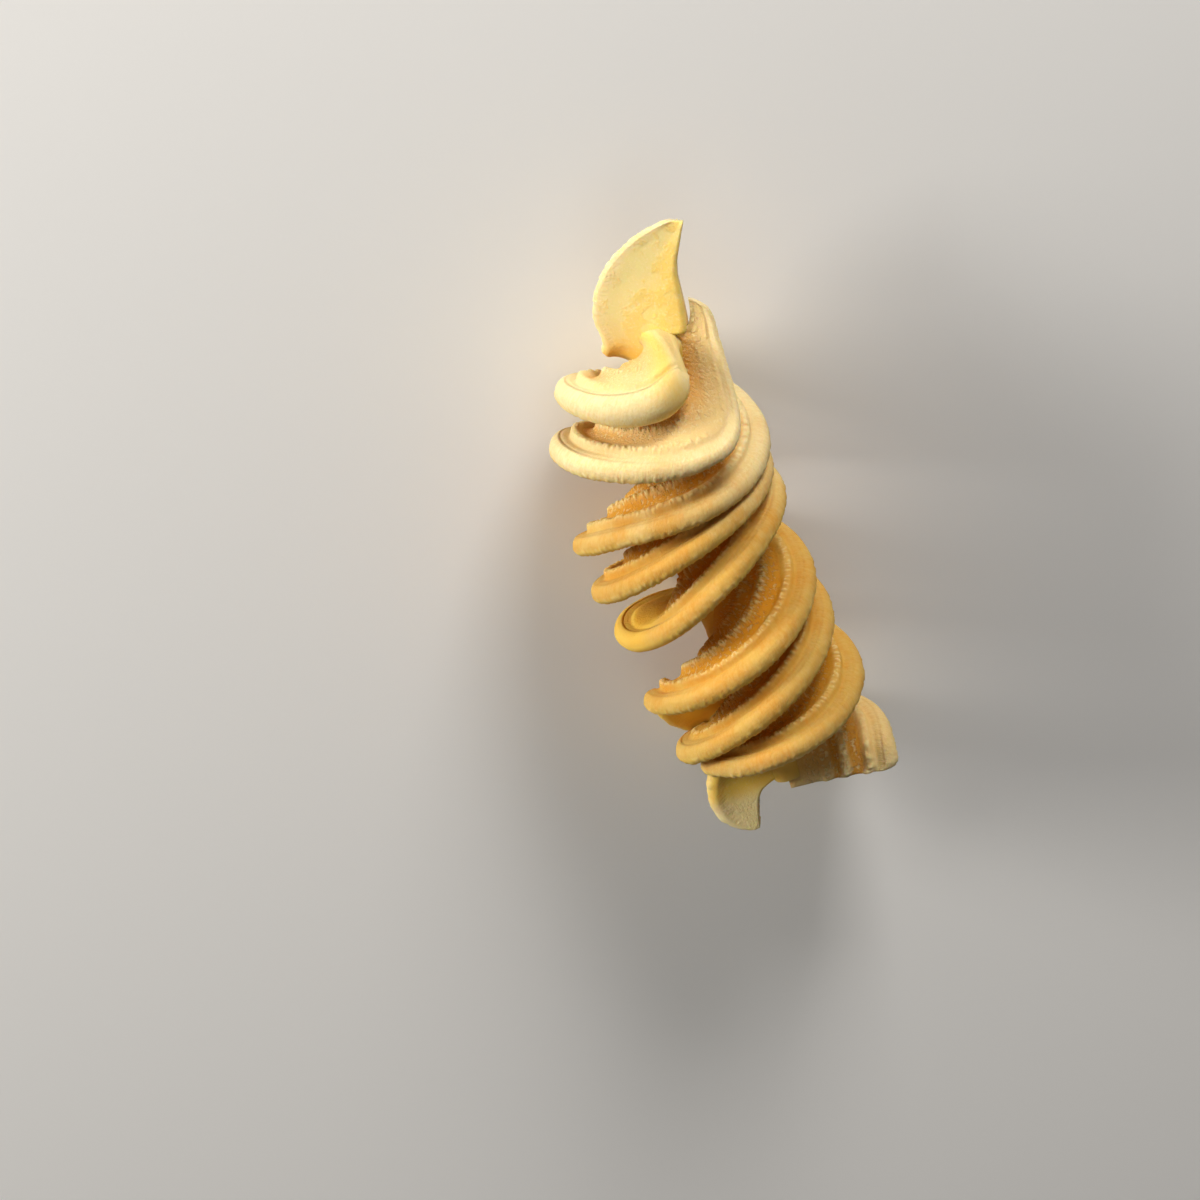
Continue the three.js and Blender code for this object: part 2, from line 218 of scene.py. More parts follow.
def section_frame(x):
    """Centre of the bent axis at the stations x, with the axis, side and front directions."""
    view = math.radians(VIEW_TILT)
    sway = np.radians(table((SPINE_X, SPINE_SWAY), x))
    tilt = view + np.radians(table((SPINE_X, SPINE_NOD), x))
    to_view = np.array((math.sin(view), 0, math.cos(view)))
    along = np.array((math.cos(view), 0, -math.sin(view)))
    right = np.array((0, -1, 0))

    def mix(r, a, v):
        return np.multiply.outer(r, right) + np.multiply.outer(a, along) + np.multiply.outer(v, to_view)

    centre = np.stack((x, -table((SPINE_X, SPINE_SIDE), x), table((SPINE_X, SPINE_RISE), x)), -1)
    axis = mix(np.sin(sway) * np.cos(tilt), np.cos(sway) * np.cos(tilt), np.sin(tilt))
    side = mix(np.cos(sway), -np.sin(sway), 0 * sway)
    front = mix(-np.sin(sway) * np.sin(tilt), -np.cos(sway) * np.sin(tilt), np.cos(tilt))
    return centre, axis, side, front


def blade_frame(blade, x):
    """Centre, axis direction and direction out to the rim at the stations x."""
    centre, axis, side, front = section_frame(x)
    turn = np.radians(table(blade["turn"], x))[:, None]
    return centre, axis, side * np.sin(turn) + front * np.cos(turn)


def blade_stations(blade):
    """Stations evenly spaced along the rim, with the closing rows of both ends."""
    first, last = blade["span"]
    fine = np.linspace(first, last, RIM_SAMPLES)
    centre, _, out = blade_frame(blade, fine)
    rim = centre + out * table(blade["reach"], fine)[:, None]
    run = np.concatenate(((0,), np.cumsum(np.linalg.norm(np.diff(rim, axis=0), axis=1))))
    length, closing = END_ROUND, END_ROWS
    if "round_end" in blade:
        length, closing = blade["round_end"], BLUNT_ROWS
    start = [(first + END_ROUND * d, k) for d, k in END_ROWS]
    end = [(last - length * d, k) for d, k in reversed(closing)]
    inner = np.interp(np.linspace(0, run[-1], RIM_STATIONS), run, fine)
    inner = inner[(inner > start[-1][0] + DIFF) & (inner < end[0][0] - DIFF)]
    rows = np.array(start + [(x, 1.0) for x in inner] + end)
    return rows[:, 0], rows[:, 1], np.interp(rows[:, 0], fine, run)


def points_object(name, points, floats=None, vectors=None):
    """Helper mesh of loose points that carries values for a node tree."""
    mesh = bpy.data.meshes.new(name)
    mesh.from_pydata([tuple(p) for p in points], [], [])
    for key, values in (floats or {}).items():
        mesh.attributes.new(key, "FLOAT", "POINT").data.foreach_set("value", np.asarray(values, np.float32))
    for key, values in (vectors or {}).items():
        mesh.attributes.new(key, "FLOAT_VECTOR", "POINT").data.foreach_set(
            "vector", np.asarray(values, np.float32).ravel())
    thing = bpy.data.objects.new(name, mesh)
    bpy.context.scene.collection.objects.link(thing)
    return thing


def blade_rail(name, blade):
    """The blade's stations as points, with all that the sweep needs at each."""
    x, thin, run = blade_stations(blade)
    centre, axis, out = blade_frame(blade, x)
    before, after = blade_frame(blade, x - DIFF), blade_frame(blade, x + DIFF)
    step = [(b - a) / (2 * DIFF) for a, b in zip(before, after)]
    reach = table(blade["reach"], x)
    bow_step = (table(blade["bow"], x + DIFF) - table(blade["bow"], x - DIFF)) / (2 * DIFF)
    floats = dict(reach=reach, bead=np.minimum(table(blade["bead"], x), reach * BEAD_SHARE),
                  root=table(blade["root"], x), bow=table(blade["bow"], x), bow_step=bow_step,
                  thin=thin, run=run, rough=table(blade.get("rough", EVEN), x),
                  ridged=table(blade.get("ridged", EVEN), x))
    vectors = dict(axis=axis, out=out, centre_step=step[0], axis_step=step[1], out_step=step[2])
    return points_object(name + "_rail", centre - np.array(ROW_ORIGIN), floats, vectors)


def blade_profile():
    """Loop round a blade: upper face outwards, bead, lower face inwards."""
    upper = [(k / UPPER_POINTS) ** UPPER_CROWDING for k in range(UPPER_POINTS)]
    lower = [1 - (k + 1) / LOWER_POINTS for k in range(LOWER_POINTS)]
    arc = np.radians(np.linspace(BEAD_START, BEAD_END, BEAD_POINTS))
    points = [(u, 0, 0) for u in upper] + [(1, math.cos(a), math.sin(a)) for a in arc]
    points += [(u, 0, 0) for u in lower]
    flat = [1] * UPPER_POINTS + [0] * BEAD_POINTS + [1] * LOWER_POINTS
    face = [1] * UPPER_POINTS + [math.sin(a) for a in arc] + [-1] * LOWER_POINTS
    past = [0] * UPPER_POINTS + [arc[0] - a for a in arc] + [arc[0] - arc[-1]] * LOWER_POINTS
    return points_object("blade_profile", points, dict(flat=flat, face=face, past=past))


class Values:
    """Sockets and numbers that the sections of one node tree share, by name."""


class Wires:
    """Makes and wires nodes from short calls; numbers are set, sockets are linked."""

    def __init__(self, tree):
        self.tree = tree

    def node(self, kind, ins=None, **props):
        made = self.tree.nodes.new(kind)
        for key, value in props.items():
            setattr(made, key, value)
        for key, value in (ins or {}).items():
            self.feed(made.inputs[key], value)
        return made

    def feed(self, socket, value):
        if isinstance(value, bpy.types.NodeSocket):
            self.tree.links.new(value, socket)
        else:
            socket.default_value = value

    def call(self, kind, operation, *values):
        made = self.tree.nodes.new(kind)
        made.operation = operation
        for socket, value in zip(made.inputs, values):
            self.feed(socket, value)
        return made

    def math(self, operation, *values):
        return self.call("ShaderNodeMath", operation, *values).outputs[0]

    def add(self, *values):
        total = values[0]
        for value in values[1:]:
            total = self.math("ADD", total, value)
        return total

    def times(self, *values):
        total = values[0]
        for value in values[1:]:
            total = self.math("MULTIPLY", total, value)
        return total

    def less(self, value, taken):
        return self.math("SUBTRACT", value, taken)

    def divide(self, value, by):
        return self.math("DIVIDE", value, by)

    def most(self, value, other):
        return self.math("MAXIMUM", value, other)

    def held(self, value, low, high):
        """The value, kept between low and high."""
        return self.math("MINIMUM", self.most(value, low), high)

    def line(self, value, slope, start):
        """start at 0, growing by slope for each 1 of the value."""
        return self.math("MULTIPLY_ADD", value, slope, start)

    def mix(self, factor, a, b):
        """Number between a and b."""
        return self.node("ShaderNodeMix", {0: factor, 2: a, 3: b}).outputs[0]

    def blend(self, factor, a, b):
        """Colour between a and b."""
        return self.node("ShaderNodeMix", {0: factor, 6: a, 7: b}, data_type="RGBA").outputs[2]

    def vector(self, operation, *values):
        made = self.call("ShaderNodeVectorMath", operation, *values)
        return made.outputs["Value" if operation == "DOT_PRODUCT" else "Vector"]

    def scale(self, vector, factor):
        made = self.call("ShaderNodeVectorMath", "SCALE", vector)
        self.feed(made.inputs["Scale"], factor)
        return made.outputs["Vector"]

    def sum(self, *vectors):
        total = vectors[0]
        for value in vectors[1:]:
            total = self.vector("ADD", total, value)
        return total

    def unit_cross(self, a, b):
        return self.vector("NORMALIZE", self.vector("CROSS_PRODUCT", a, b))

    def xyz(self, x=0.0, y=0.0, z=0.0):
        return self.node("ShaderNodeCombineXYZ", {"X": x, "Y": y, "Z": z}).outputs[0]

    def split(self, vector):
        return self.node("ShaderNodeSeparateXYZ", {0: vector}).outputs

    def smooth(self, value, low, high, to_low=0.0, to_high=1.0):
        """Soft step from to_low at low to to_high at high."""
        return self.node("ShaderNodeMapRange", {"Value": value, "From Min": low, "From Max": high,
                                                "To Min": to_low, "To Max": to_high},
                         interpolation_type="SMOOTHSTEP").outputs[0]

    def window(self, value, rise, full, fall, none):
        """1 between full and fall, 0 outside rise and none."""
        return self.times(self.smooth(value, rise, full), self.smooth(value, fall, none, 1.0, 0.0))

    def noise(self, vector, scale, detail=2.0, roughness=0.5):
        return self.node("ShaderNodeTexNoise", {"Vector": vector, "Scale": scale, "Detail": detail,
                                                "Roughness": roughness}).outputs[0]

    def streaks(self, run, out, rates, shift, detail=2.0, roughness=0.5, slanted=False):
        """Noise that follows the rim, with rates in waves per mm along it and out to it."""
        along = self.times(run, rates[0])
        if slanted:
            along = self.add(along, out)
        return self.noise(self.xyz(along, self.times(out, rates[1]), shift), 1.0, detail, roughness)

    def curve(self, value, keys):
        made = self.node("ShaderNodeFloatCurve", {"Value": value})
        made.mapping.use_clip = False
        points = made.mapping.curves[0].points
        points[0].location, points[1].location = (keys[0][0], keys[1][0]), (keys[0][-1], keys[1][-1])
        for x, y in list(zip(*keys))[1:-1]:
            points.new(x, y)
        for point in points:
            point.handle_type = "AUTO_CLAMPED"
        made.mapping.update()
        return made.outputs[0]


def open_tree(name, inputs):
    """New geometry tree with a geometry in and out and the named inputs."""
    tree = bpy.data.node_groups.new(name, "GeometryNodeTree")
    face = tree.interface
    face.new_socket("Geometry", in_out="INPUT", socket_type="NodeSocketGeometry")
    for label, kind, default in inputs:
        socket = face.new_socket(label, in_out="INPUT", socket_type="NodeSocket" + kind)
        if default is not None:
            socket.default_value = default
    face.new_socket("Geometry", in_out="OUTPUT", socket_type="NodeSocketGeometry")
    return Wires(tree), tree.nodes.new("NodeGroupInput").outputs, tree.nodes.new("NodeGroupOutput").inputs


def close_tree(w, body, material, out):
    """Ends a tree: smooth faces, real geometry and the given material."""
    body = w.node("GeometryNodeSetShadeSmooth", {"Geometry": body}).outputs[0]
    body = w.node("GeometryNodeRealizeInstances", {"Geometry": body}).outputs[0]
    body = w.node("GeometryNodeSetMaterial", {"Geometry": body, "Material": material}).outputs[0]
    w.feed(out["Geometry"], body)


def sampled(w, source, index, name, kind="FLOAT"):
    """One of the source's values, at its point with that index."""
    if name == "position":
        field = w.node("GeometryNodeInputPosition")
    else:
        field = w.node("GeometryNodeInputNamedAttribute", {"Name": name}, data_type=kind)
    return w.node("GeometryNodeSampleIndex", {"Geometry": source, "Value": field.outputs[0], "Index": index},
                  data_type=kind).outputs[0]


def blade_grid(w, rail, profile):
    """Grid of stations by profile points, with the values of both at each of its points."""
    row_count = w.node("GeometryNodeAttributeDomainSize", {"Geometry": rail}).outputs["Point Count"]
    loop_count = w.node("GeometryNodeAttributeDomainSize", {"Geometry": profile}).outputs["Point Count"]
    columns = w.add(loop_count, 1)
    b = Values()
    b.grid = w.node("GeometryNodeMeshGrid", {"Vertices X": row_count, "Vertices Y": columns}).outputs["Mesh"]
    index = w.node("GeometryNodeInputIndex").outputs[0]
    row = w.math("FLOOR", w.divide(w.add(index, 0.5), columns))
    column = w.less(index, w.times(row, columns))
    # the last column lies on the first one, which closes the loop
    column = w.times(column, w.math("LESS_THAN", column, w.less(loop_count, 0.5)))

    b.centre = sampled(w, rail, row, "position", "FLOAT_VECTOR")
    for name in ("axis", "out", "centre_step", "axis_step", "out_step"):
        setattr(b, name, sampled(w, rail, row, name, "FLOAT_VECTOR"))
    for name in ("reach", "bead", "root", "bow", "bow_step", "thin", "run", "rough", "ridged"):
        setattr(b, name, sampled(w, rail, row, name))
    for name in ("flat", "face", "past"):
        setattr(b, name, sampled(w, profile, column, name))
    place = w.split(sampled(w, profile, column, "position", "FLOAT_VECTOR"))
    b.way, b.bead_out, b.bead_up = place["X"], place["Y"], place["Z"]
    return b


def blade_middle(w, b):
    """Mid surface of the blade, its normal towards +X and the direction out to the rim."""
    rim = w.less(b.reach, b.bead)
    b.rho = w.add(b.root, w.times(w.less(rim, b.root), b.way))
    u = w.held(w.divide(b.rho, b.reach), 0.0, PAST_RIM)
    rise = w.less(1.0, w.math("POWER", u, BOW_POWER))
    rise_rate = w.times(w.math("POWER", u, BOW_POWER - 1), -BOW_POWER)
    bow_lift = w.times(b.bow, rise)
    b.middle = w.sum(b.centre, w.scale(b.out, b.rho), w.scale(b.axis, bow_lift))
    across = w.sum(b.out, w.scale(b.axis, w.divide(w.times(b.bow, rise_rate), b.reach)))
    along = w.sum(b.centre_step, w.scale(b.out_step, b.rho), w.scale(b.axis_step, bow_lift),
                  w.scale(b.axis, w.times(b.bow_step, rise)))
    b.normal = w.unit_cross(across, along)
    rimward = w.unit_cross(along, b.normal)
    b.rimward = w.scale(rimward, w.math("SIGN", w.vector("DOT_PRODUCT", rimward, across)))
    b.share = w.held(w.divide(b.rho, rim), 0.0, 1.0)
    b.over = w.add(b.rho, w.times(b.past, b.bead))


def blade_relief(w, b, given):
    """Slow unevenness, lines over the bead, torn rows on the upper face, nicks on the bead."""
    seed = given["Seed"]
    slow = w.less(w.streaks(b.run, b.rho, SLOW_RATES, seed), 0.5)
    strands = w.streaks(b.run, b.over, STRAND_RATES, w.add(seed, STRAND_SEED), roughness=0.6)
    strands = w.times(w.less(strands, 0.5), w.smooth(b.share, 0.8, 0.95))
    rows = w.most(w.times(w.window(b.share, *INNER_TEARS), 0.6), w.window(b.share, *MIDDLE_TEARS))
    rows = w.most(rows, w.times(w.window(b.share, *OUTER_TEARS), 0.7))
    flakes = w.streaks(b.run, b.rho, FLAKE_RATES, w.add(seed, FLAKE_SEED), roughness=0.6)
    flakes = w.times(w.smooth(flakes, 0.45, 0.58), w.times(b.upper, b.rough, rows))
    nicks = w.streaks(b.run, b.over, NICK_RATES, w.add(seed, NICK_SEED), detail=1.0, slanted=True)
    nicks = w.times(w.smooth(nicks, 0.46, 0.60), w.less(1.0, b.flat), w.window(b.face, *NICKED), b.rough)
    b.torn = w.most(flakes, w.times(nicks, 0.5))
    return w.add(w.times(slow, given["Unevenness"]), w.times(strands, given["Striation depth"]),
                 w.times(flakes, given["Tear depth"]), w.times(nicks, given["Nick depth"]))


def blade_surface(w, b, given):
    """Place of each point: both faces and the bead round the mid surface, with their relief."""
    side = w.math("SIGN", b.face)
    b.upper = w.math("GREATER_THAN", b.face, 0.0)
    top = w.mix(b.ridged, w.curve(b.share, SMOOTH_HALF), w.curve(b.share, RIDGED_HALF))
    half = w.mix(b.upper, w.curve(b.share, LOWER_HALF), top)
    lift = w.add(w.times(b.flat, side, half), b.bead_up)
    radius = w.times(b.bead, b.thin)
    relief = w.times(blade_relief(w, b, given), b.thin)
    up = w.add(w.times(radius, lift, given["Thickness"]), w.times(relief, w.mix(b.flat, b.bead_up, side)))
    out = w.times(b.bead_out, w.add(w.times(radius, given["Thickness"]), relief))
    place = w.sum(b.middle, w.scale(b.normal, up), w.scale(b.rimward, out))
    # the lowest rims are rubbed flat where the piece lies
    place = w.split(w.scale(place, MM))
    return w.xyz(place["X"], place["Y"], w.most(place["Z"], 0.0))


def blade_tree():
    """Sweeps the profile along a rail of stations and adds the relief of the extruded dough."""
    w, given, out = open_tree("Blade sweep", (
        ("Profile", "Object", None), ("Thickness", "Float", 1.0), ("Unevenness", "Float", 0.1),
        ("Striation depth", "Float", 0.02), ("Tear depth", "Float", 0.1), ("Nick depth", "Float", 0.05),
        ("Seed", "Float", 3.0), ("Material", "Material", None)))
    profile = w.node("GeometryNodeObjectInfo", {"Object": given["Profile"]}).outputs["Geometry"]
    b = blade_grid(w, given["Geometry"], profile)
    blade_middle(w, b)
    place = blade_surface(w, b, given)
    body = w.node("GeometryNodeSetPosition", {"Geometry": b.grid, "Position": place}).outputs[0]
    b.cut = w.less(1.0, b.thin)
    for name in ("run", "share", "face", "over", "torn", "rough", "ridged", "cut"):
        body = w.node("GeometryNodeStoreNamedAttribute",
                      {"Geometry": body, "Name": name, "Value": getattr(b, name)},
                      data_type="FLOAT").outputs[0]
    body = w.node("GeometryNodeMergeByDistance", {"Geometry": body, "Distance": MERGE_DISTANCE}).outputs[0]
    close_tree(w, body, given["Material"], out)
    return w.tree


def core_tree():
    """Sweeps a round section along the axis points, with closed ends."""
    w, given, out = open_tree("Core sweep", (
        ("Sides", "Int", 40), ("Unevenness", "Float", 0.1), ("Seed", "Float", 3.0),
        ("Material", "Material", None)))
    line = w.node("GeometryNodeMeshToCurve", {"Mesh": given["Geometry"]}).outputs[0]
    radius = w.node("GeometryNodeInputNamedAttribute", {"Name": "radius_mm"}, data_type="FLOAT").outputs[0]
    ring = w.node("GeometryNodeCurvePrimitiveCircle", {"Resolution": given["Sides"], "Radius": 1.0})
    body = w.node("GeometryNodeCurveToMesh", {"Curve": line, "Profile Curve": ring.outputs["Curve"],
                                              "Scale": w.times(radius, MM), "Fill Caps": True}).outputs[0]
    here = w.scale(w.node("GeometryNodeInputPosition").outputs[0], 1 / MM)
    push = w.less(w.noise(w.sum(here, w.xyz(given["Seed"])), 0.9), 0.5)
    outward = w.node("GeometryNodeInputNormal").outputs[0]
    offset = w.scale(outward, w.times(push, given["Unevenness"], MM))
    body = w.node("GeometryNodeSetPosition", {"Geometry": body, "Offset": offset}).outputs[0]
    close_tree(w, body, given["Material"], out)
    return w.tree


def grown(name, host, tree, values):
    """Runs a tree on its host, keeps the result as a plain piece and removes the host."""
    modifier = host.modifiers.new("grow", "NODES")
    modifier.node_group = tree
    for item in tree.interface.items_tree:
        if item.item_type == "SOCKET" and item.in_out == "INPUT" and item.name in values:
            modifier[item.identifier] = values[item.name]
    bpy.context.view_layer.update()
    graph = bpy.context.evaluated_depsgraph_get()
    mesh = bpy.data.meshes.new_from_object(host.evaluated_get(graph))
    host.modifiers.remove(modifier)
    bpy.data.objects.remove(host)
    if not mesh.polygons:
        raise RuntimeError(name + " came out empty")
    mesh.name = name
    piece = bpy.data.objects.new(name, mesh)
    bpy.context.scene.collection.objects.link(piece)
    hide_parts(NODE)
    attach(piece, "root")
    return piece


def dough_values(w):
    """Where a point lies on its blade and in the piece, and the patterns on it."""
    d = Values()
    for name in ("run", "share", "face", "over", "torn", "cut", "rough", "ridged"):
        setattr(d, name, w.node("ShaderNodeAttribute", attribute_name=name).outputs["Fac"])
    here = w.scale(w.node("ShaderNodeTexCoord").outputs["Object"], 1 / MM)
    place = w.split(here)
    d.x = place["X"]

    # patterns
    d.cloud = w.noise(here, 0.35, 3.0, 0.6)
    d.grain = w.noise(here, 5.0, 4.0, 0.65)
    d.lines = w.streaks(d.run, d.over, LINE_RATES, 2.0, 3.0, 0.65, slanted=True)
    d.patch = w.smooth(w.add(w.noise(here, 0.55, 3.0, 0.65), w.times(d.share, -0.12)), 0.40, 0.52)

    # zones
    d.upper = w.smooth(d.face, -0.2, 0.5)
    d.lower = w.less(1.0, d.upper)
    d.on_bead = w.smooth(d.share, 0.82, 0.97)
    d.smooth_zone = w.smooth(d.rough, 0.42, 0.08)
    d.free = w.most(w.smooth(d.x, *FREE_TOP), w.smooth(d.x, *FREE_LOBE))
    d.low_end = w.smooth(d.x, *LOW_END)
    # cream end: partly drier dough, partly painted light, creamier towards the top end, the right of the
    # picture and the low end
    side_light_shift = w.smooth(place["Y"], *LIT_SIDE, 0.0, LIT_SIDE_SHIFT)
    d.dry = w.smooth(w.add(d.x, w.times(d.cloud, CLOUD_SHIFT), side_light_shift), *DRY_AND_LIT_END)
    d.dry = w.most(d.dry, w.times(d.low_end, 0.55))

    chips = w.smooth(w.streaks(d.run, d.over, CHIP_RATES, 7.0, roughness=0.6), 0.53, 0.61)
    d.chips = w.times(chips, d.upper, d.rough, w.window(d.share, *CHIPPED))
    return d


def bare_tone(w, d, colours):
    """Colour of the bare dough: amber to cream, waxy below, pale at the free ends, with painted shade, light
    and glow.
    """
    amber, gold, cream, wax, pale, flour = (
        colours[k] for k in ("amber", "gold", "cream", "wax", "pale", "flour"))
    tone = w.blend(w.smooth(d.cloud, 0.3, 0.7), amber, gold)
    # cream over the drier dough and as painted light
    tone = w.blend(w.times(d.dry, 0.85), tone, cream)
    # wax on the lower faces and smooth zones: their smooth yellow, brightened as a painted glow of light
    # through the thin dough
    tone = w.blend(w.most(w.times(d.lower, 0.8), w.times(d.smooth_zone, 0.6)), tone, wax)
    # painted shade: darker amber towards the core, where the blades meet; less on the lower faces and at the
    # low end, none at the free ends
    painted_shade = w.times(w.smooth(d.share, 0.80, 0.30), w.less(1.0, d.free), w.line(d.upper, 0.75, 0.25))
    tone = w.blend(w.times(painted_shade, w.line(d.low_end, -0.45, 0.85)), tone, amber)
    # pale on the lower faces of the free ends, paler out to the rim: their smooth tone and a painted glow of
    # light through the thin ends
    tone = w.blend(w.times(d.free, d.lower, w.smooth(d.share, 0.05, 0.6, 0.45, 0.95)), tone, pale)
    tone = w.blend(w.times(d.free, d.lower, d.patch, 0.4), tone, wax)
    tone = w.blend(w.smooth(d.x, *FLOURED_LOBE, 0.0, 0.7), tone, flour)
    # painted shade: amber in the grooves of the ridged upper faces
    groove_shade = w.times(d.upper, d.ridged,
                     w.most(w.window(d.share, *OUTER_GROOVE_SHADE), w.window(d.share, *INNER_GROOVE_SHADE)))
    return w.blend(w.times(groove_shade, 0.85), tone, amber)


def floury_tone(w, d, colours, tone):
    """Flour on the crests, the beads, the chips, the tears and the cut ends."""
    # flour whiter over the drier dough and as painted light
    flour = w.blend(d.dry, colours["meal"], colours["flour"])
    fleck = w.blend(0.5, flour, colours["flour"])
    floury = w.line(d.smooth_zone, -0.65, 1.0)
    crest = w.times(d.upper, d.ridged, w.most(w.window(d.share, *OUTER_CREST),
                                              w.times(w.window(d.share, *MIDDLE_TEARS), 0.5)))
    tone = w.blend(w.times(crest, w.line(d.dry, 0.3, 0.3)), tone, flour)
    dusty = w.times(d.on_bead, w.smooth(d.lines, 0.4, 0.6, 0.5, 0.95), w.line(d.dry, 0.45, 0.38),
                    w.most(w.smooth(d.face, -1.0, -0.4, 0.1, 1.0), d.free))
    tone = w.blend(w.times(dusty, floury), tone, flour)
    tone = w.blend(w.times(d.chips, w.line(d.dry, 0.1, 0.5)), tone, fleck)
    tone = w.blend(w.times(w.smooth(d.torn, 0.2, 0.9), w.line(d.dry, 0.1, 0.75)), tone, fleck)
    grains = w.times(w.smooth(d.grain, 0.5, 0.72), floury, w.line(d.dry, 0.5, 0.12))
    tone = w.blend(grains, tone, flour)
    return w.blend(w.smooth(d.cut, 0.1, 0.35, 0.0, 0.5), tone, flour)


def dough_material(settings):
    """Dry bronze-cut pasta: floury cream over amber, waxy on the lower faces, with painted shade, light and
    glow.
    """
    made = bpy.data.materials.new("dry_dough")
    made.use_nodes = True
    made.node_tree.nodes.clear()
    w = Wires(made.node_tree)
    colours = {k: tuple(getattr(settings, k)) + (1.0,)
               for k in ("amber", "gold", "cream", "wax", "pale", "meal", "flour")}
    d = dough_values(w)
    tone = floury_tone(w, d, colours, bare_tone(w, d, colours))

    lined = w.times(d.lines, w.line(w.times(d.on_bead, d.rough), 0.33, 0.05))
    grained = w.times(d.grain, w.add(w.times(d.upper, 0.3), w.times(d.free, d.patch, 0.3), 0.1))
    height = w.add(lined, grained, w.times(d.chips, 0.6))
    bump = w.node("ShaderNodeBump", {"Height": height, "Distance": BUMP_DEPTH, "Strength": 1.0}).outputs[0]
    roughness = w.add(w.times(d.grain, 0.3), w.times(d.upper, 0.12), 0.45)
    skin = w.node("ShaderNodeBsdfPrincipled", {
        "Base Color": tone, "Roughness": roughness, "Normal": bump, "Subsurface Weight": SKIN_GLOW,
        "Subsurface Radius": GLOW_RADIUS, "Subsurface Scale": GLOW_SCALE, "IOR": SKIN_IOR})
    skin.inputs["Specular IOR Level"].default_value = SKIN_SPECULAR
    end = w.node("ShaderNodeOutputMaterial")
    w.feed(end.inputs["Surface"], skin.outputs[0])
    return made


def view_directions():
    """The picture's right and up, and the direction to the viewer."""
    tilt, lean = math.radians(VIEW_TILT), math.radians(PICTURE_LEAN)
    to_view = Vector((math.sin(tilt), 0, math.cos(tilt)))
    up = Vector((math.cos(lean) * math.cos(tilt), -math.sin(lean), -math.cos(lean) * math.sin(tilt)))
    return up.cross(to_view), up, to_view


def make_floor(scene, settings):
    """Pale square that the piece lies on."""
    half = FLOOR_HALF
    mesh = bpy.data.meshes.new("floor")
    mesh.from_pydata([(-half, -half, 0), (half, -half, 0), (half, half, 0), (-half, half, 0)], [],
                     [(0, 1, 2, 3)])
    floor = bpy.data.objects.new("floor", mesh)
    scene.collection.objects.link(floor)
    paint = bpy.data.materials.new("pale_floor")
    paint.use_nodes = True
    skin = paint.node_tree.nodes["Principled BSDF"]
    skin.inputs["Base Color"].default_value = tuple(settings.floor_tone) + (1.0,)
    skin.inputs["Roughness"].default_value = FLOOR_ROUGHNESS
    mesh.materials.append(paint)


def make_camera(scene, settings):
    """Camera that looks down on the piece along the photograph's line of sight."""
    right, up, to_view = view_directions()
    centre = (Vector(PICTURE_CENTRE) - Vector(ROW_ORIGIN)) * MM
    turn = Matrix((right, up, to_view)).transposed().to_4x4()
    data = bpy.data.cameras.new("camera")
    data.sensor_width = SENSOR_WIDTH
    data.lens = SENSOR_WIDTH * settings.distance / settings.frame_width
    data.clip_start, data.clip_end = CLIP_START, CLIP_END
    camera = bpy.data.objects.new("camera", data)
    camera.matrix_world = Matrix.Translation(centre + to_view * settings.distance) @ turn
    scene.collection.objects.link(camera)
    scene.camera = camera


def make_lamps(scene, settings):
    """Soft square lights that face the middle of the piece, and a dim surround."""
    right, up, to_view = view_directions()
    fill_way = to_view + right * FILL_RIGHT + up * FILL_UP
    for name, power, size, way, far, tint in (
            ("key", settings.key_power, KEY_SIZE, Vector(KEY_WAY), LAMP_DISTANCE, KEY_TINT),
            ("end", settings.end_power, END_SIZE, Vector(END_WAY), LAMP_DISTANCE, END_TINT),
            ("fill", settings.fill_power, FILL_SIZE, fill_way, FILL_DISTANCE, FILL_TINT)):
        light = bpy.data.lights.new(name, "AREA")
        light.energy, light.size, light.color = power, size, tint
        lamp = bpy.data.objects.new(name, light)
        way = way.normalized()
        lamp.matrix_world = (Matrix.Translation(Vector(LAMP_AIM) + way * far)
                             @ way.to_track_quat("Z", "Y").to_matrix().to_4x4())
        scene.collection.objects.link(lamp)
    world = bpy.data.worlds.new("studio")
    world.use_nodes = True
    surround = world.node_tree.nodes["Background"].inputs
    surround["Color"].default_value = WORLD_TINT
    surround["Strength"].default_value = WORLD_STRENGTH
    scene.world = world
    scene.view_settings.view_transform = "Standard"


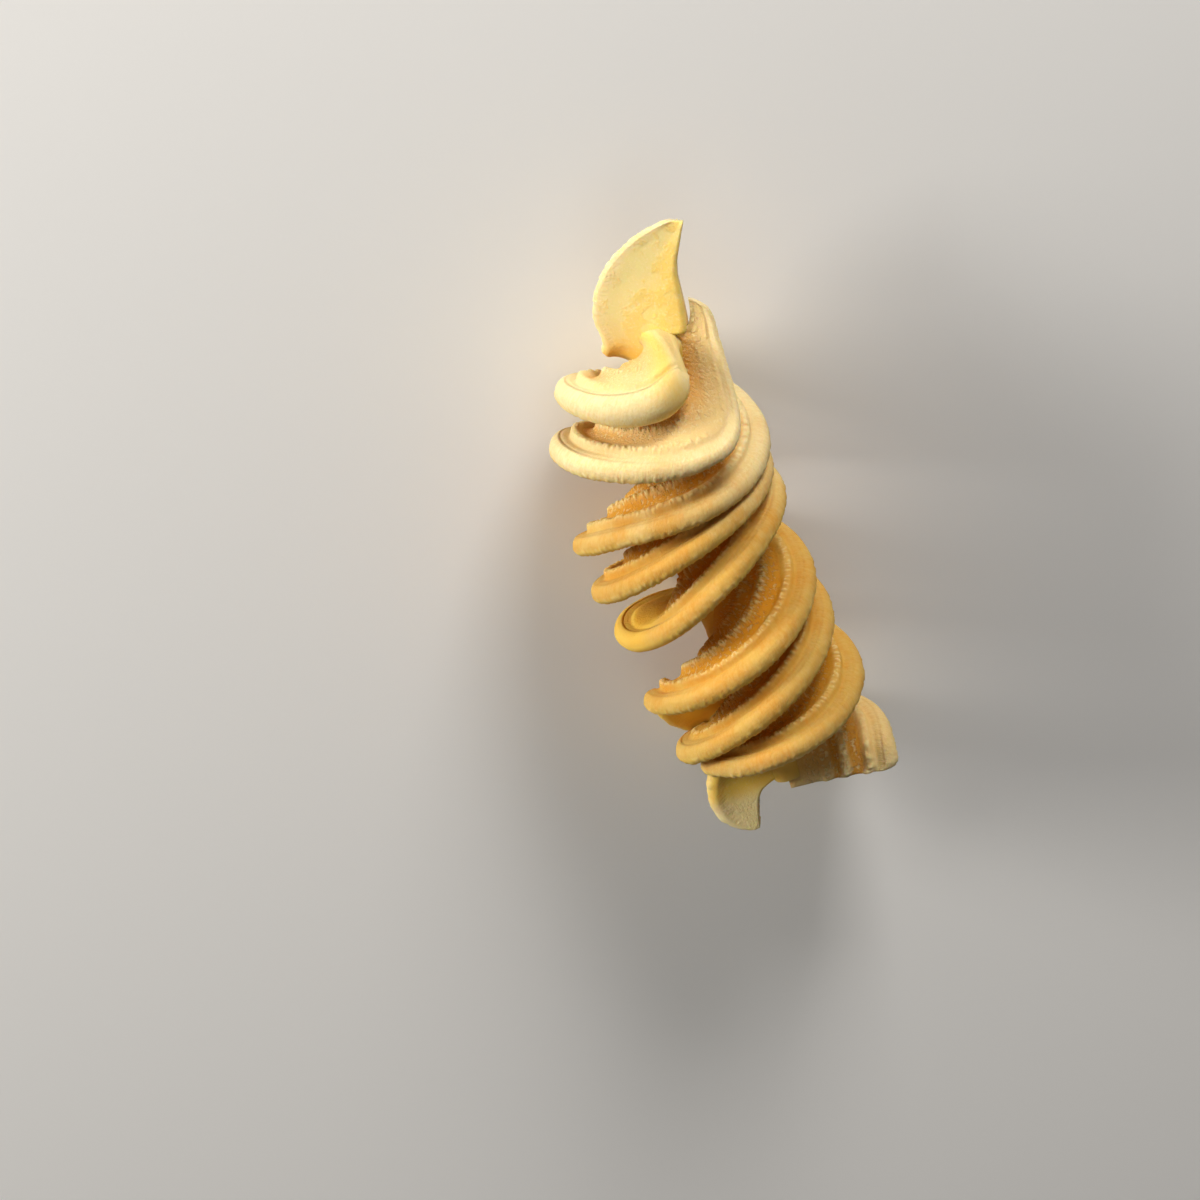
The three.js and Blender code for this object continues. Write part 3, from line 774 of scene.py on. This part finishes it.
class FusilloneSettings(bpy.types.PropertyGroup):
    """Sizes and colours of the pasta piece."""

    thickness: bpy.props.FloatProperty(
        name="Thickness", description="Blade and bead thickness, as a factor", default=1.0, min=0.8, max=1.1)
    unevenness: bpy.props.FloatProperty(
        name="Unevenness", description="Depth of the slow waves in the dough, in millimetres", default=0.16,
        min=0.0, max=0.4)
    striation_depth: bpy.props.FloatProperty(
        name="Striation depth", description="Depth of the lines across the rim bead, in millimetres",
        default=0.035, min=0.0, max=0.2)
    tear_depth: bpy.props.FloatProperty(
        name="Tear depth", description="Height of the torn flakes on the upper faces, in millimetres",
        default=0.24, min=0.0, max=0.4)
    nick_depth: bpy.props.FloatProperty(
        name="Nick depth", description="Height of the fine tears on the rim beads, in millimetres",
        default=0.085, min=0.0, max=0.2)
    seed: bpy.props.IntProperty(name="Seed", description="Seed of the relief", default=3, min=0)
    # amber also paints the shade near the core and in the grooves
    amber: bpy.props.FloatVectorProperty(
        name="Amber", description="Translucent dough in the hollows", subtype="COLOR", size=3,
        default=(0.67, 0.285, 0.01), min=0.0, max=1.0)
    gold: bpy.props.FloatVectorProperty(
        name="Gold", description="Dough of the middle turns", subtype="COLOR", size=3,
        default=(0.68, 0.40, 0.065), min=0.0, max=1.0)
    # cream is partly painted light, at the top end, the right side and the low end
    cream: bpy.props.FloatVectorProperty(
        name="Cream", description="Dough in the open", subtype="COLOR", size=3,
        default=(0.85, 0.64, 0.29), min=0.0, max=1.0)
    # wax is partly a painted glow of light through the thin lower faces
    wax: bpy.props.FloatVectorProperty(
        name="Wax", description="Smooth lower faces", subtype="COLOR", size=3,
        default=(0.95, 0.62, 0.08), min=0.0, max=1.0)
    # pale is partly a painted glow of light through the thin free ends
    pale: bpy.props.FloatVectorProperty(
        name="Pale", description="Smooth faces of the free ends", subtype="COLOR", size=3,
        default=(0.86, 0.72, 0.31), min=0.0, max=1.0)
    meal: bpy.props.FloatVectorProperty(
        name="Meal", description="Crests and torn flakes of the middle turns", subtype="COLOR", size=3,
        default=(0.80, 0.575, 0.21), min=0.0, max=1.0)
    # flour is whiter at the cream end, partly as painted light
    flour: bpy.props.FloatVectorProperty(
        name="Flour", description="Floury rims and torn flakes of the dry end", subtype="COLOR", size=3,
        default=(0.93, 0.77, 0.42), min=0.0, max=1.0)


class FusilloneStage(bpy.types.PropertyGroup):
    """Floor, light and camera."""

    floor_tone: bpy.props.FloatVectorProperty(
        name="Floor tone", description="Colour of the pale floor", subtype="COLOR", size=3,
        default=(0.9, 0.89, 0.87), min=0.0, max=1.0)
    key_power: bpy.props.FloatProperty(
        name="Key power", description="Power of the soft light low on the left", subtype="POWER",
        default=1.25, min=0.0)
    end_power: bpy.props.FloatProperty(
        name="End power", description="Power of the soft light beyond the crescent", subtype="POWER",
        default=0.95, min=0.0)
    fill_power: bpy.props.FloatProperty(
        name="Fill power", description="Power of the large soft light above", subtype="POWER", default=0.26,
        min=0.0)
    distance: bpy.props.FloatProperty(
        name="Camera distance", description="Camera to the picture's centre", subtype="DISTANCE",
        unit="LENGTH", default=1.2, min=0.1)
    frame_width: bpy.props.FloatProperty(
        name="Frame width", description="Width of the picture at that distance", subtype="DISTANCE",
        unit="LENGTH", default=0.1, min=0.02)


class FUSILLONE_OT_blades(bpy.types.Operator):
    """Make the three twisted blades"""

    bl_idname = "fusillone.blades"
    bl_label = "Make the blades"

    def execute(self, context):
        settings = context.scene.fusillone
        material = dough_material(settings)
        tree = blade_tree()
        profile = blade_profile()
        for number, (name, blade) in enumerate(BLADES.items()):
            grown(name, blade_rail(name, blade), tree, {
                "Profile": profile, "Thickness": settings.thickness, "Unevenness": settings.unevenness,
                "Striation depth": settings.striation_depth, "Tear depth": settings.tear_depth,
                "Nick depth": settings.nick_depth,
                "Seed": float(settings.seed + BLADE_SEED_STEP * number), "Material": material})
        bpy.data.objects.remove(profile)
        return {"FINISHED"}


class FUSILLONE_OT_core(bpy.types.Operator):
    """Make the thin core the blades wind round"""

    bl_idname = "fusillone.core"
    bl_label = "Make the core"

    def execute(self, context):
        settings = context.scene.fusillone
        x = np.linspace(*CORE_SPAN, CORE_STATIONS)
        centre = (section_frame(x)[0] - np.array(ROW_ORIGIN)) * MM
        line = points_object("core_rail", centre, dict(radius_mm=table(CORE_RADIUS, x)))
        line.data.edges.add(len(x) - 1)
        line.data.edges.foreach_set("vertices", [k for i in range(len(x) - 1) for k in (i, i + 1)])
        grown("core", line, core_tree(), {
            "Unevenness": settings.unevenness, "Seed": float(settings.seed),
            "Material": bpy.data.materials["dry_dough"]})
        return {"FINISHED"}


class FUSILLONE_OT_stage(bpy.types.Operator):
    """Make the floor, the soft lights and the camera"""

    bl_idname = "fusillone.stage"
    bl_label = "Make the stage"

    def execute(self, context):
        settings = context.scene.fusillone_stage
        make_floor(context.scene, settings)
        make_camera(context.scene, settings)
        make_lamps(context.scene, settings)
        return {"FINISHED"}


class FUSILLONE_PT_panel(bpy.types.Panel):
    """Lists the steps and the values behind them"""

    bl_label = "Fusillone"
    bl_idname = "FUSILLONE_PT_panel"
    bl_space_type = "VIEW_3D"
    bl_region_type = "UI"
    bl_category = "Fusillone"

    def draw(self, context):
        for group, steps in ((context.scene.fusillone, (FUSILLONE_OT_blades, FUSILLONE_OT_core)),
                             (context.scene.fusillone_stage, (FUSILLONE_OT_stage,))):
            box = self.layout.box()
            for key in group.__annotations__:
                box.prop(group, key)
            for step in steps:
                box.operator(step.bl_idname)


CLASSES = (FusilloneSettings, FusilloneStage, FUSILLONE_OT_blades, FUSILLONE_OT_core, FUSILLONE_OT_stage,
           FUSILLONE_PT_panel)


def register():
    for one in CLASSES:
        bpy.utils.register_class(one)
    bpy.types.Scene.fusillone = bpy.props.PointerProperty(type=FusilloneSettings)
    bpy.types.Scene.fusillone_stage = bpy.props.PointerProperty(type=FusilloneStage)


def unregister():
    del bpy.types.Scene.fusillone_stage
    del bpy.types.Scene.fusillone
    for one in reversed(CLASSES):
        bpy.utils.unregister_class(one)


def main():
    register()
    bpy.ops.fusillone.blades()
    bpy.ops.fusillone.core()
    bpy.ops.fusillone.stage()


if __name__ == "__main__":
    main()
